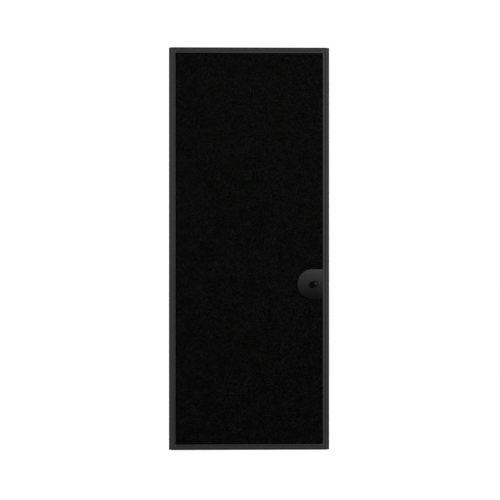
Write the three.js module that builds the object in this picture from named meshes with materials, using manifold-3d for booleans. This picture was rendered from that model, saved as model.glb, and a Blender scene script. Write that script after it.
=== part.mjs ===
// Access door of a hard-sided ground blind: a tubular aluminium jamb, a carpet-faced door leaf on
// three butt hinges, and a rack-and-pinion latch worked by two ball knobs on one square spindle.
// Millimetres, +Z up. -Y is the inside of the blind, +Y the outside; hinges at -X, latch at +X.
// The origin is the middle of the sill's bottom face. Rest position: leaf closed, bolt drawn back.
// An "inset" is a distance inward from the jamb's outside: along X at the sides, Z at the ends.

import * as THREE from 'three';
import Module from 'manifold-3d';

const wasm = await Module();
wasm.setup();

// ---------------------------------------------------------------- driving dimensions
const WIDTH = 610;
const HEIGHT = 1532;
const HALF_W = WIDTH / 2;
const WALL = 1.8; // extrusion wall

// leaf: Y of its faces, and the layers between them
const LEAF_HALF_T = 14;
const CORE_HALF_T = 8;
const FACE_IN = 8.2; // carpet and skin, near and far faces from the leaf's middle plane
const FACE_OUT = 12;
// insets of the leaf's edge, of the member's inner edge and of its rib
const STILE = { edge: 9.5, inner: 24.2, rib: 21.7, ribHalf: 2.4 };
const RAIL = { edge: 8, inner: 21, rib: 18.6, ribHalf: 2.2 };

// screws
const HINGE_Z = [200, 766, 1332];
const HINGE_SCREW_DZ = 26;
const HINGE_SCREW_Y = 3;
const HINGE_SCREW_Z = HINGE_Z.flatMap((z) => [z - HINGE_SCREW_DZ, z + HINGE_SCREW_DZ]);
const LATCH_SCREW_Z = [618, 656];
const SCREW_HOLE_R = 1.95;
const SCREW_SINK = 0.05;
const HOLE_OVERRUN = 0.6; // how far a cutter passes each face of a wall

// spindle and escutcheons
const KNOB_X = HALF_W - 55.2;
const KNOB_Z = 632.4;
const KNOB_AT = [KNOB_X, 0, KNOB_Z];
const SPINDLE = 4.5;
const SPINDLE_BORE = SPINDLE + 0.3;
const NECK_R = 5;
const PLATE_W = 97.9;
const PLATE_R = 115.7 / 2;
const PLATE_Z = 630.5;
const PLATE_EDGE = 2.5; // thickness where the crown starts
const PLATE_RISE = 5.5;
const PLATE_BACK = FACE_OUT + 0.1;
const PLATE_FRONT = PLATE_BACK + PLATE_EDGE + PLATE_RISE;
const THROUGH_X = 240;
const THROUGH_Z = [PLATE_Z - 42, PLATE_Z + 42];

// ---------------------------------------------------------------- placing
const SIDES = [-1, 1];
const CORNERS = [['top_left', -1, true], ['top_right', 1, true],
  ['bottom_left', -1, false], ['bottom_right', 1, false]];

// a span and its mirror image, always low end first
const mirrorSpan = (from, to, sign) => (sign < 0 ? [-to, -from] : [from, to]);
const sideSpan = (from, to, side) => mirrorSpan(HALF_W - to, HALF_W - from, side);
const endSpan = (from, to, top) => (top ? [HEIGHT - to, HEIGHT - from] : [from, to]);

// outlines in (inset, y), turned into (x, y) for the sides and (y, z) for the ends
const atSide = (points, side) => points.map(([inset, y]) => [side * (HALF_W - inset), y]);
const atEnd = (points, top) => points.map(([inset, y]) => [y, top ? HEIGHT - inset : inset]);

// ---------------------------------------------------------------- geometry helpers
const basis = (...axes) => new THREE.Matrix4().makeBasis(
  ...axes.map((axis) => new THREE.Vector3(...axis)));
const ALONG_X = basis([0, 1, 0], [0, 0, 1], [1, 0, 0]); // outline in (y, z)
const ALONG_Y = basis([0, 0, 1], [1, 0, 0], [0, 1, 0]); // outline in (z, x)

// one indexed, merged, outward-facing surface with no collapsed triangles
function closed(geometry) {
  const source = geometry.attributes.position;
  const { index } = geometry;
  const count = index ? index.count : source.count;
  const seen = new Map();
  const positions = [];
  const triangles = [];
  const vertex = (corner) => {
    const i = index ? index.getX(corner) : corner;
    const point = [source.getX(i), source.getY(i), source.getZ(i)];
    const key = point.map((c) => Math.round(c * 1000)).join();
    if (!seen.has(key)) {
      seen.set(key, positions.length / 3);
      positions.push(...point);
    }
    return seen.get(key);
  };
  const pointAt = (i) => new THREE.Vector3().fromArray(positions, i * 3);
  let volume = 0;
  for (let i = 0; i < count; i += 3) {
    const [i0, i1, i2] = [vertex(i), vertex(i + 1), vertex(i + 2)];
    if (i0 === i1 || i1 === i2 || i0 === i2) continue;
    volume += pointAt(i0).dot(pointAt(i1).cross(pointAt(i2)));
    triangles.push(i0, i1, i2);
  }
  if (volume < 0) {
    for (let i = 0; i < triangles.length; i += 3) {
      [triangles[i + 1], triangles[i + 2]] = [triangles[i + 2], triangles[i + 1]];
    }
  }
  const result = new THREE.BufferGeometry();
  result.setAttribute('position', new THREE.Float32BufferAttribute(positions, 3));
  result.setIndex(triangles);
  return result;
}

function solid(geometry) {
  const merged = closed(geometry);
  return new wasm.Manifold(new wasm.Mesh({
    numProp: 3,
    vertProperties: new Float32Array(merged.attributes.position.array),
    triVerts: new Uint32Array(merged.index.array),
  }));
}

function surface(manifold) {
  const mesh = manifold.getMesh();
  const geometry = new THREE.BufferGeometry();
  geometry.setAttribute('position', new THREE.BufferAttribute(mesh.vertProperties, 3));
  geometry.setIndex(Array.from(mesh.triVerts));
  return geometry;
}

// on manifolds
const addAll = (body, pieces) => pieces.reduce((sum, piece) => sum.add(solid(piece)), body);
const cutAll = (body, tools) => tools.reduce((rest, tool) => rest.subtract(solid(tool)), body);
// on geometries
const join = (first, ...others) => surface(addAll(solid(first), others));
const cut = (base, ...tools) => surface(cutAll(solid(base), tools));

const toVectors = (points) => points.map(([a, b]) => new THREE.Vector2(a, b));

function prism(points, from, to, turn = null, hole = null) {
  // anticlockwise, so that a hole keeps the opposite sense
  const outline = toVectors(points);
  if (THREE.ShapeUtils.isClockWise(outline)) outline.reverse();
  const shape = new THREE.Shape(outline);
  if (hole) shape.holes.push(new THREE.Path(toVectors(hole)));
  const geometry = new THREE.ExtrudeGeometry(shape, { depth: to - from, bevelEnabled: false });
  geometry.translate(0, 0, from);
  if (turn) geometry.applyMatrix4(turn);
  return geometry;
}

function box(x0, x1, y0, y1, z0, z1) {
  const geometry = new THREE.BoxGeometry(x1 - x0, y1 - y0, z1 - z0);
  geometry.translate((x0 + x1) / 2, (y0 + y1) / 2, (z0 + z1) / 2);
  return geometry;
}

// round solid about a line along an axis, from profile points [radius, position]
function turned(profile, axis, at, segments) {
  const geometry = new THREE.LatheGeometry(toVectors(profile), segments);
  if (axis === 'x') geometry.rotateZ(-Math.PI / 2);
  if (axis === 'z') geometry.rotateX(Math.PI / 2);
  geometry.translate(...at);
  return geometry;
}

const facing = (profile, direction) => profile.map(([r, along]) => [r, direction * along]);

const rod = (radius, from, to, axis, at, segments = 16) =>
  turned([[0, from], [radius, from], [radius, to], [0, to]], axis, at, segments);

function part(name, geometry, finish) {
  const flat = closed(geometry).toNonIndexed();
  flat.computeVertexNormals();
  const mesh = new THREE.Mesh(flat, new THREE.MeshStandardMaterial(finish));
  mesh.name = name;
  return mesh;
}

const METAL = { color: 0x3a3a3a, roughness: 0.5, metalness: 0.6 };
const TRIM = { color: 0x454545, roughness: 0.5, metalness: 0.3 };
const RUBBER = { color: 0x161616, roughness: 0.85, metalness: 0 };
const STEEL = { color: 0x8c8f92, roughness: 0.35, metalness: 0.9 };
const CARPET = { color: 0x0c0c0c, roughness: 1, metalness: 0 };
const PLATE = { color: 0x2e2b2e, roughness: 0.45, metalness: 0 };
const GLOSS = { color: 0x101010, roughness: 0.15, metalness: 0 };
const PLY = { color: 0xa98a5c, roughness: 0.8, metalness: 0 };
const SKIN = { color: 0x2f3326, roughness: 0.7, metalness: 0 };

const door = new THREE.Group();
const jamb = new THREE.Group();
const leaf = new THREE.Group();
const knob = new THREE.Group();
const bolt = new THREE.Group();
door.add(jamb, leaf, knob, bolt);

// ---------------------------------------------------------------- screws
const screwHoles = (wallSpan, y, zs) =>
  zs.map((z) => rod(SCREW_HOLE_R, ...wallSpan, 'x', [0, y, z], 12));

// countersunk holes entering a face at faceX and running along X in the given direction
function countersinks(faceX, direction, y, zs) {
  const profile = [[0, -0.5], [3.4, -0.5], [2.9, 0.05], [1.9, 1.05], [1.9, 3], [0, 3]];
  return zs.map((z) => turned(facing(profile, direction), 'x', [faceX, y, z], 12));
}

// a lower and an upper countersunk screw, heads sunk just below the face
function addScrews(group, prefix, { faceX, direction, y, zs, length }) {
  const profile = [[0, 0], [2.7, 0], [2.7, 0.05], [1.3, 1.4], [1.3, length - 0.9], [0, length]];
  for (const [i, where] of ['lower', 'upper'].entries()) {
    const at = [faceX + direction * SCREW_SINK, y, zs[i]];
    group.add(part(`${prefix}_${where}`, turned(facing(profile, direction), 'x', at, 12), STEEL));
  }
}

// ---------------------------------------------------------------- jamb
const JAMB_SIDE_GAP = 2; // the sides stop this far short of the head's and sill's outer faces
const JAMB_OUT_Y = 14; // outside face
const JAMB_IN_Y = -17.5; // inside face
const LIP_OUT_Y = -16; // outward face of the stop lip
const BEAD_Y = -19; // crest of the stop lip's bead
const HOLLOW_IN_Y = LIP_OUT_Y + 0.3;
// insets of the tube's inner face, the lip's edge and the bead's centre
const JAMB_SIDE = { tube: 7, lip: 12.3, bead: 9.9 };
const JAMB_END = { tube: 5.5, lip: 10.8, bead: 8.2 };

function jambOutline({ tube, lip, bead }) {
  const half = lip - bead;
  return [
    [0, JAMB_OUT_Y], [tube, JAMB_OUT_Y], [tube, LIP_OUT_Y], [lip, LIP_OUT_Y], [lip, JAMB_IN_Y],
    [bead + half * 0.9, JAMB_IN_Y - 0.7], [bead + half * 0.55, BEAD_Y + 0.2], [bead, BEAD_Y],
    [bead - half * 0.55, BEAD_Y + 0.2], [bead - half * 0.9, JAMB_IN_Y - 0.7],
    [bead - half, JAMB_IN_Y], [0.8, JAMB_IN_Y], [0, JAMB_IN_Y + 0.8],
  ];
}
const jambHollow = ({ tube }) => [[WALL, JAMB_OUT_Y - WALL], [tube - WALL, JAMB_OUT_Y - WALL],
  [tube - WALL, HOLLOW_IN_Y], [WALL, HOLLOW_IN_Y]];

// corner trims on the jamb's lip, and the notches that take them
const TRIM_SPAN = [5.7, 21]; // end insets
const TRIM_NOTCH = [7.1, 12.7]; // side insets
const TRIM_OUTLINE = [[7.4, -17.4], [12.2, -17.4], [12.2, -18.7], [11.4, -19.7], [9.8, -20],
  [8.2, -19.7], [7.4, -18.7]]; // (inset, y)

for (const side of SIDES) {
  const body = prism(atSide(jambOutline(JAMB_SIDE), side), JAMB_SIDE_GAP, HEIGHT - JAMB_SIDE_GAP,
    null, atSide(jambHollow(JAMB_SIDE), side));
  const notches = [false, true].map((top) => box(...sideSpan(...TRIM_NOTCH, side),
    -25, JAMB_IN_Y + 0.2, ...endSpan(0, TRIM_SPAN[1] + 0.2, top)));
  const { tube } = JAMB_SIDE;
  const wall = sideSpan(tube - WALL - HOLE_OVERRUN, tube + HOLE_OVERRUN, side);
  const holes = side < 0
    ? screwHoles(wall, HINGE_SCREW_Y, HINGE_SCREW_Z)
    : [...screwHoles(wall, 0, LATCH_SCREW_Z), box(...wall, -5.5, 5.5, 637.4, 649)];
  const name = side < 0 ? 'jamb_hinge_side' : 'jamb_lock_side';
  jamb.add(part(name, cut(body, ...notches, ...holes), METAL));
}

// head and sill, their lips coped back to clear the sides' lips
for (const top of [false, true]) {
  const end = HALF_W - JAMB_SIDE.tube - 0.2;
  const body = prism(atEnd(jambOutline(JAMB_END), top), -end, end, ALONG_X,
    atEnd(jambHollow(JAMB_END), top));
  const cope = HALF_W - JAMB_SIDE.lip - 0.25;
  const copes = SIDES.map((side) => box(...mirrorSpan(cope, HALF_W + 1, side),
    -30, LIP_OUT_Y + 0.2, ...endSpan(-1, 30, top)));
  jamb.add(part(top ? 'jamb_head' : 'jamb_sill', cut(body, ...copes), METAL));
}

for (const [where, side, top] of CORNERS) {
  const trim = prism(atSide(TRIM_OUTLINE, side), ...endSpan(...TRIM_SPAN, top));
  jamb.add(part(`jamb_corner_${where}`, trim, TRIM));
}

// stop seals between the lip and the closed leaf
function sealOutline({ lip }) {
  const outer = lip - 2.6;
  const inner = lip - 0.2;
  const lipY = LIP_OUT_Y + 0.1;
  const leafY = -LEAF_HALF_T - 0.2;
  return [[outer, lipY], [inner, lipY], [inner - 0.4, leafY], [outer + 0.4, leafY]];
}
for (const [name, side] of [['stop_seal_left', -1], ['stop_seal_right', 1]]) {
  jamb.add(part(name, prism(atSide(sealOutline(JAMB_SIDE), side), 11, HEIGHT - 11), RUBBER));
}
for (const [name, top] of [['stop_seal_bottom', false], ['stop_seal_top', true]]) {
  const end = HALF_W - 12.7;
  jamb.add(part(name, prism(atEnd(sealOutline(JAMB_END), top), -end, end, ALONG_X), RUBBER));
}

// strike plate on the lock side
const STRIKE_X = sideSpan(7.1, 8.1, 1);
jamb.add(part('strike_plate', cut(
  box(...STRIKE_X, -10, 10, 610, 664),
  box(STRIKE_X[0] - 1, STRIKE_X[1] + 1, -5.2, 5.2, 637.5, 648.8),
  ...countersinks(STRIKE_X[0], 1, 0, LATCH_SCREW_Z),
), STEEL));
addScrews(jamb, 'strike_screw',
  { faceX: STRIKE_X[0], direction: 1, y: 0, zs: LATCH_SCREW_Z, length: 5.4 });

// ---------------------------------------------------------------- hinges
const HINGE_L = 76;
const HINGE_HALF = HINGE_L / 2;
const KNUCKLE_L = HINGE_L / 5;
const KNUCKLE_GAP = 0.15;
const BARREL_R = 4.4;
const BORE_R = 2.2;
const PIN_R = 2.05;
const AXIS_Y = 19;
const AXIS_AT = [-HALF_W + 8.25, AXIS_Y, 0];
const HINGE_IN_Y = -8;
const FIXED_X = sideSpan(7.1, 8.1, -1);
const MOVING_X = sideSpan(8.4, 9.4, -1);

// z spans of the numbered knuckles, counted from the bottom
const knuckles = (numbers) => numbers.map((i) => [
  -HINGE_HALF + i * KNUCKLE_L + (i > 0 ? KNUCKLE_GAP : 0),
  -HINGE_HALF + (i + 1) * KNUCKLE_L - (i < 4 ? KNUCKLE_GAP : 0),
]);
const FIXED_KNUCKLES = knuckles([0, 2, 4]);
const MOVING_KNUCKLES = knuckles([1, 3]);

// flat plate with its own knuckles, relieved round the other leaf's
function hingeLeaf(xSpan, own, other, screwFaceX, screwDirection) {
  const plate = solid(box(...xSpan, HINGE_IN_Y, AXIS_Y, -HINGE_HALF, HINGE_HALF));
  const barrels = own.map(([from, to]) => rod(BARREL_R, from, to, 'z', AXIS_AT));
  const reliefs = other.map(([from, to]) => {
    const low = from <= -HINGE_HALF ? -HINGE_HALF - 1 : from - 2 * KNUCKLE_GAP;
    const high = to >= HINGE_HALF ? HINGE_HALF + 1 : to + 2 * KNUCKLE_GAP;
    return rod(BARREL_R + 0.5, low, high, 'z', AXIS_AT);
  });
  return surface(cutAll(addAll(plate, barrels), [
    ...reliefs,
    rod(BORE_R, -HINGE_HALF - 2, HINGE_HALF + 2, 'z', AXIS_AT),
    ...countersinks(screwFaceX, screwDirection, HINGE_SCREW_Y, [-HINGE_SCREW_DZ, HINGE_SCREW_DZ]),
  ]));
}
const fixedLeaf = hingeLeaf(FIXED_X, FIXED_KNUCKLES, MOVING_KNUCKLES, FIXED_X[1], -1);
const movingLeaf = hingeLeaf(MOVING_X, MOVING_KNUCKLES, FIXED_KNUCKLES, MOVING_X[0], 1);
const hingePin = turned([[0, -41], [1.3, -41], [PIN_R, -40], [PIN_R, 38.3], [3.5, 38.3],
  [3.5, 39.6], [2.6, 40.6], [0, 40.9]], 'z', AXIS_AT, 16);

function addRaised(group, name, geometry, z) {
  const mesh = part(name, geometry, STEEL);
  mesh.position.z = z;
  group.add(mesh);
}
for (const [i, where] of ['bottom', 'middle', 'top'].entries()) {
  const z = HINGE_Z[i];
  addRaised(jamb, `hinge_fixed_leaf_${where}`, fixedLeaf, z);
  addRaised(jamb, `hinge_pin_${where}`, hingePin, z);
  addRaised(leaf, `hinge_door_leaf_${where}`, movingLeaf, z);
  const row = { y: HINGE_SCREW_Y, zs: [z - HINGE_SCREW_DZ, z + HINGE_SCREW_DZ] };
  addScrews(jamb, `hinge_jamb_screw_${where}`,
    { ...row, faceX: FIXED_X[1], direction: -1, length: 5 });
  addScrews(leaf, `hinge_door_screw_${where}`,
    { ...row, faceX: MOVING_X[0], direction: 1, length: 3.05 });
}

// ---------------------------------------------------------------- stiles, rails, corner blocks
// channel open towards the leaf's middle, with a rib on its inside face
function channelOutline({ edge, inner, rib, ribHalf }) {
  const face = -LEAF_HALF_T;
  return [
    [edge, face], [rib - ribHalf, face], [rib - ribHalf * 0.8, face - 1.2],
    [rib - ribHalf * 0.4, face - 1.9], [rib, face - 2.1], [rib + ribHalf * 0.4, face - 1.9],
    [rib + ribHalf * 0.8, face - 1.2], [inner, face + 0.4], [inner, face + WALL],
    [edge + WALL, face + WALL], [edge + WALL, LEAF_HALF_T - WALL], [inner, LEAF_HALF_T - WALL],
    [inner, LEAF_HALF_T], [edge, LEAF_HALF_T],
  ];
}
const BLOCK_INNER = 27;
const BLOCK_SPAN = [11.3, 21]; // end insets
const BLOCK_OUTLINE = [[12.9, -14.1], [12.9, -15.9], [14.1, -15.9], [14.5, -15.2], [21.3, -15.2],
  [22, -16.5], [23.2, -17.2], [25.6, -17.2], [26.6, -16.4], [BLOCK_INNER, -15.2],
  [BLOCK_INNER, -14.1]]; // (inset, y)

// the ribs are cut away under the corner blocks
for (const side of SIDES) {
  const body = prism(atSide(channelOutline(STILE), side), RAIL.edge, HEIGHT - RAIL.edge);
  const ribCuts = [false, true].map((top) => box(...sideSpan(9, 40, side),
    -25, -LEAF_HALF_T, ...endSpan(0, BLOCK_SPAN[1] + 0.2, top)));
  const wall = sideSpan(STILE.edge - HOLE_OVERRUN, STILE.edge + WALL + HOLE_OVERRUN, side);
  const holes = side < 0
    ? screwHoles(wall, HINGE_SCREW_Y, HINGE_SCREW_Z)
    : [box(...wall, -10.9, 10.9, 610.7, 662.3)];
  const name = side < 0 ? 'stile_hinge' : 'stile_lock';
  leaf.add(part(name, cut(body, ...ribCuts, ...holes), METAL));
}
for (const top of [false, true]) {
  const end = HALF_W - STILE.inner - 0.2;
  const ribEnd = HALF_W - BLOCK_INNER - 0.2;
  const body = prism(atEnd(channelOutline(RAIL), top), -end, end, ALONG_X);
  const ribCuts = SIDES.map((side) => box(...mirrorSpan(ribEnd, end + 1, side),
    -25, -LEAF_HALF_T, ...endSpan(0, 30, top)));
  leaf.add(part(top ? 'rail_top' : 'rail_bottom', cut(body, ...ribCuts), METAL));
}
for (const [where, side, top] of CORNERS) {
  const block = prism(atSide(BLOCK_OUTLINE, side), ...endSpan(...BLOCK_SPAN, top));
  leaf.add(part(`corner_block_${where}`, block, TRIM));
}

// ---------------------------------------------------------------- panels held in the channels
const PANEL_X = HALF_W - STILE.edge - WALL - 0.3;
const PANEL_Z0 = RAIL.edge + WALL + 0.3;
const BOSS_HOLE_R = 4.6; // round the inner escutcheon's bosses
const BOLT_HOLE_R = 2.3; // round the bare escutcheon bolts

const panel = (y0, y1) => box(-PANEL_X, PANEL_X, y0, y1, PANEL_Z0, HEIGHT - PANEL_Z0);
const throughRods = (radius, y0, y1) =>
  THROUGH_Z.map((z) => rod(radius, y0, y1, 'y', [THROUGH_X, 0, z], 12));

function facePanel(direction, throughR) {
  const cutter = mirrorSpan(6, 14, direction);
  return cut(panel(...mirrorSpan(FACE_IN, FACE_OUT, direction)),
    rod(6.2, ...cutter, 'y', KNOB_AT), ...throughRods(throughR, ...cutter));
}
leaf.add(part('core_panel', cut(panel(-CORE_HALF_T, CORE_HALF_T),
  box(232.6, HALF_W, -10, 10, 611.4, 661.6), ...throughRods(BOSS_HOLE_R, -10, 10)), PLY));
leaf.add(part('carpet_face', facePanel(-1, BOSS_HOLE_R), CARPET));
leaf.add(part('outer_skin', facePanel(1, BOLT_HOLE_R), SKIN));

// ---------------------------------------------------------------- crowned D-shaped escutcheons
// (z, x): straight edge towards the lock side, half circle away from it
function plateOutline() {
  const straightX = HALF_W - STILE.inner - 0.3;
  const centreX = straightX - PLATE_W + PLATE_R;
  const points = [[PLATE_Z - PLATE_R, straightX], [PLATE_Z + PLATE_R, straightX]];
  for (let i = 0; i <= 24; i++) {
    const angle = Math.PI * i / 24;
    points.push([PLATE_Z + PLATE_R * Math.cos(angle), centreX - PLATE_R * Math.sin(angle)]);
  }
  return points;
}

// (y, z): an arc rising PLATE_RISE over the plate's height, closed by the flat back
function crownOutline(direction) {
  const arcR = (PLATE_R * PLATE_R + PLATE_RISE * PLATE_RISE) / (2 * PLATE_RISE);
  const reach = PLATE_R + 0.5;
  const points = [];
  for (let i = 0; i <= 14; i++) {
    const angle = Math.asin(reach / arcR) * (i / 7 - 1);
    points.push([direction * (PLATE_FRONT - arcR + arcR * Math.cos(angle)),
      PLATE_Z + arcR * Math.sin(angle)]);
  }
  const backY = direction * PLATE_BACK;
  points.push([backY, PLATE_Z + reach], [backY, PLATE_Z - reach]);
  return points;
}

// the inner plate has two bored bosses, the outer one two counterbored holes
function escutcheon(direction) {
  const blank = prism(plateOutline(), ...mirrorSpan(PLATE_BACK, PLATE_FRONT + 1, direction), ALONG_Y);
  const crown = prism(crownOutline(direction), 150, HALF_W, ALONG_X);
  const plate = solid(blank).intersect(solid(crown));
  const bosses = direction < 0 ? throughRods(4.2, -14, -1) : [];
  const holes = direction < 0
    ? throughRods(2.2, -15, 0)
    : [...throughRods(BOLT_HOLE_R, 10, 30), ...throughRods(4.4, 14.4, 30)];
  const neckHole = rod(NECK_R + 0.35, -60, 60, 'y', KNOB_AT, 20);
  return surface(cutAll(addAll(plate, bosses), [...holes, neckHole]));
}
leaf.add(part('inner_escutcheon', escutcheon(-1), PLATE));
leaf.add(part('outer_escutcheon', escutcheon(1), PLATE));

const BOLT_PROFILE = [[0, -13], [2, -13], [2, 14.45], [4, 14.45], [4, 16.2], [3, 17], [0, 17]];
for (const [i, where] of ['lower', 'upper'].entries()) {
  const shank = turned(BOLT_PROFILE, 'y', [THROUGH_X, 0, THROUGH_Z[i]], 12);
  leaf.add(part(`escutcheon_bolt_${where}`, shank, STEEL));
}

// ---------------------------------------------------------------- latch case and faceplate
const CASE_X0 = 233;
const CASE_X1 = HALF_W - 11.7;
const CASE_Z0 = 624.4;
const CASE_Z1 = 650.1;
const CASE_HALF_T = 7.8;
const CASE_WALL = 1.6;
const CAVITY_HALF_T = CASE_HALF_T - CASE_WALL;
leaf.add(part('latch_case', cut(
  join(box(CASE_X0, CASE_X1, -CASE_HALF_T, CASE_HALF_T, CASE_Z0, CASE_Z1),
    box(CASE_X1 - 3, CASE_X1, -CASE_HALF_T, CASE_HALF_T, 611.8, 661.2)),
  box(CASE_X0 + CASE_WALL, CASE_X1 + 1, -CAVITY_HALF_T, CAVITY_HALF_T,
    CASE_Z0 + CASE_WALL, CASE_Z1 - CASE_WALL),
  rod(4.15, -9, 9, 'y', KNOB_AT, 20),
  ...LATCH_SCREW_Z.map((z) => rod(1.6, CASE_X1 - 4, CASE_X1 + 1, 'x', [0, 0, z], 12)),
), STEEL));

const FACEPLATE_X = sideSpan(9.7, 11.4, 1);
leaf.add(part('latch_faceplate', cut(
  box(...FACEPLATE_X, -10.6, 10.6, 611, 662),
  box(FACEPLATE_X[0] - 1, FACEPLATE_X[1] + 1, -4.8, 4.8, 637.8, 648.45),
  ...countersinks(FACEPLATE_X[1], -1, 0, LATCH_SCREW_Z),
), STEEL));
addScrews(leaf, 'faceplate_screw',
  { faceX: FACEPLATE_X[1], direction: -1, y: 0, zs: LATCH_SCREW_Z, length: 6.2 });

// ---------------------------------------------------------------- rack bolt and pinion
const MODULE = 0.8;
const TEETH = 12;
const PRESSURE = 20 * Math.PI / 180;
const PITCH = Math.PI * MODULE;
const PITCH_R = MODULE * TEETH / 2;
const HALF_TOOTH = PITCH / 4 - 0.06; // at the pitch line, thinned for backlash
const RACK_ADDENDUM = 0.56;
const RACK_DEDENDUM = 0.95;
const PITCH_Z = KNOB_Z + PITCH_R;
const BOLT_H = 10;

// (z, x): a bar above the pinion, toothed along its underside
function rackOutline() {
  const tailX = 237;
  const noseX = HALF_W - 9.9;
  const root = PITCH_Z + RACK_DEDENDUM;
  const tip = PITCH_Z - RACK_ADDENDUM;
  const rootHalf = HALF_TOOTH + RACK_DEDENDUM * Math.tan(PRESSURE);
  const tipHalf = HALF_TOOTH - RACK_ADDENDUM * Math.tan(PRESSURE);
  const points = [[root + BOLT_H, tailX], [root, tailX]];
  for (let i = -4; i <= 2; i++) {
    const x = KNOB_X + i * PITCH;
    points.push([root, x - rootHalf], [tip, x - tipHalf], [tip, x + tipHalf], [root, x + rootHalf]);
  }
  points.push([root, noseX], [root + BOLT_H, noseX]);
  return points;
}
bolt.add(part('rack_bolt', prism(rackOutline(), -4.5, 4.5, ALONG_Y), STEEL));

// (z, x): involute teeth, with a gap straight up where a rack tooth stands
function pinionOutline() {
  const baseR = PITCH_R * Math.cos(PRESSURE);
  const tipR = PITCH_R + 0.9 * MODULE;
  const rootR = PITCH_R - RACK_ADDENDUM - 0.2;
  const involute = (angle) => Math.tan(angle) - angle;
  const baseHalf = HALF_TOOTH / PITCH_R + involute(PRESSURE);
  const halfAngle = (r) => baseHalf - (r <= baseR ? 0 : involute(Math.acos(baseR / r)));
  const flank = [0, 0.3, 0.65, 1].map((t) => baseR + (tipR - baseR) * t);
  const radii = [rootR, ...flank];
  const polar = [];
  for (let i = 0; i < TEETH; i++) {
    const centre = 2 * Math.PI * (i + 0.5) / TEETH;
    for (const r of radii) polar.push([r, centre - halfAngle(r)]);
    for (const r of radii.toReversed()) polar.push([r, centre + halfAngle(r)]);
  }
  return polar.map(([r, angle]) => [KNOB_Z + r * Math.cos(angle), KNOB_X + r * Math.sin(angle)]);
}

const squareBar = (size, y0, y1) => box(KNOB_X - size / 2, KNOB_X + size / 2, y0, y1,
  KNOB_Z - size / 2, KNOB_Z + size / 2);
knob.add(part('pinion', cut(
  join(prism(pinionOutline(), -4.3, 4.3, ALONG_Y), rod(3.9, -7.6, 7.6, 'y', KNOB_AT, 20)),
  squareBar(SPINDLE_BORE, -9, 9),
), STEEL));
knob.add(part('spindle', squareBar(SPINDLE, -36, 36), STEEL));

// ---------------------------------------------------------------- ball knobs
const BALL_R = 12.5;
const NECK_L = 12.5;

function ballKnob(direction) {
  const neckEnd = PLATE_FRONT + NECK_L;
  const centre = neckEnd + BALL_R;
  const profile = [[0, 8.4], [NECK_R, 8.4], [NECK_R, PLATE_FRONT + 0.6], [NECK_R - 0.6, neckEnd]];
  const start = Math.asin((NECK_R - 0.4) / BALL_R);
  for (let i = 0; i <= 12; i++) {
    const angle = start + (Math.PI - start) * i / 12;
    const radius = i === 12 ? 0 : BALL_R * Math.sin(angle);
    profile.push([radius, centre - BALL_R * Math.cos(angle)]);
  }
  return cut(turned(facing(profile, direction), 'y', KNOB_AT, 20),
    squareBar(SPINDLE_BORE, ...mirrorSpan(5, 37, direction)));
}
knob.add(part('inner_knob', ballKnob(-1), GLOSS));
knob.add(part('outer_knob', ballKnob(1), GLOSS));

export default door;
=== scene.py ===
# Looks of a blind's access door: a jamb and, hinged in it, a leaf with a latch, built on the CAD frame.
# x runs across, with the hinges at -x and the lock at +x; -y is the inside, which the camera faces,
# and +y the outside; z runs up from the jamb's foot. Geometry is in mm, shaders and the stage in metres.
import math

import bmesh
import bpy
from mathutils import Matrix, Vector, noise
from mathutils.geometry import tessellate_polygon

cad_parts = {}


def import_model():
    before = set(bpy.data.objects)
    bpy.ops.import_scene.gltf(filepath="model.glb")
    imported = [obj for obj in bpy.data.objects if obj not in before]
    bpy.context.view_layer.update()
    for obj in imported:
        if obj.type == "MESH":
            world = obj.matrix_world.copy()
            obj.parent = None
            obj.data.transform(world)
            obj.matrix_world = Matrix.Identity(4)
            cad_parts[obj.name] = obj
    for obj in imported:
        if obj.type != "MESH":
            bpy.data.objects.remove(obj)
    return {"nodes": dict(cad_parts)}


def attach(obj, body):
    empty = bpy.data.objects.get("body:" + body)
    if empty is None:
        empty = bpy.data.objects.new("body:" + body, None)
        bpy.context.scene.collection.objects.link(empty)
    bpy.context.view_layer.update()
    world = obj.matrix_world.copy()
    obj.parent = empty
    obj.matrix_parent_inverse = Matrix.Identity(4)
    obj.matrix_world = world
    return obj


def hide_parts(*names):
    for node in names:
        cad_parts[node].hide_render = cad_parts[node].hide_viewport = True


CAD_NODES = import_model()["nodes"]
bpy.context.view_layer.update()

MM = 0.001
HALF_WIDTH, HEIGHT = 305.0, 1532.0                      # outside of the jamb
STILE_INNER, RAIL_INNER = 24.2, 21                      # leaf frame's inner edges, from the jamb's outside
KNOB_X, KNOB_Z = 249.8, 632.4
PLATE_Z = 630.5                                         # middle of the D-shaped plates
BOLT_X = 240
BOLT_HEIGHTS = (PLATE_Z - 42, PLATE_Z + 42)
LATCH_SCREW_HEIGHTS = (618, 656)
HINGE_HEIGHTS = (("bottom", 200), ("middle", HEIGHT / 2), ("top", HEIGHT - 200))
HINGE_SCREW_OFFSET, HINGE_SCREW_Y = 26, 3
SIDES = ((-1, "left"), (1, "right"))
ENDS = ((0, "bottom"), (1, "top"))


# ------------------------------------------------------------------ mesh helpers
def add_object(name, data):
    added = bpy.data.objects.new(name, data)
    bpy.context.scene.collection.objects.link(added)
    return added


def discard(objects):
    for unwanted in objects:
        mesh = unwanted.data
        bpy.data.objects.remove(unwanted)
        bpy.data.meshes.remove(mesh)


def edit_mesh(mesh, change):
    """Run change on the mesh's bmesh and write it back."""
    edit = bmesh.new()
    edit.from_mesh(mesh)
    change(edit)
    edit.to_mesh(mesh)
    edit.free()


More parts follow.
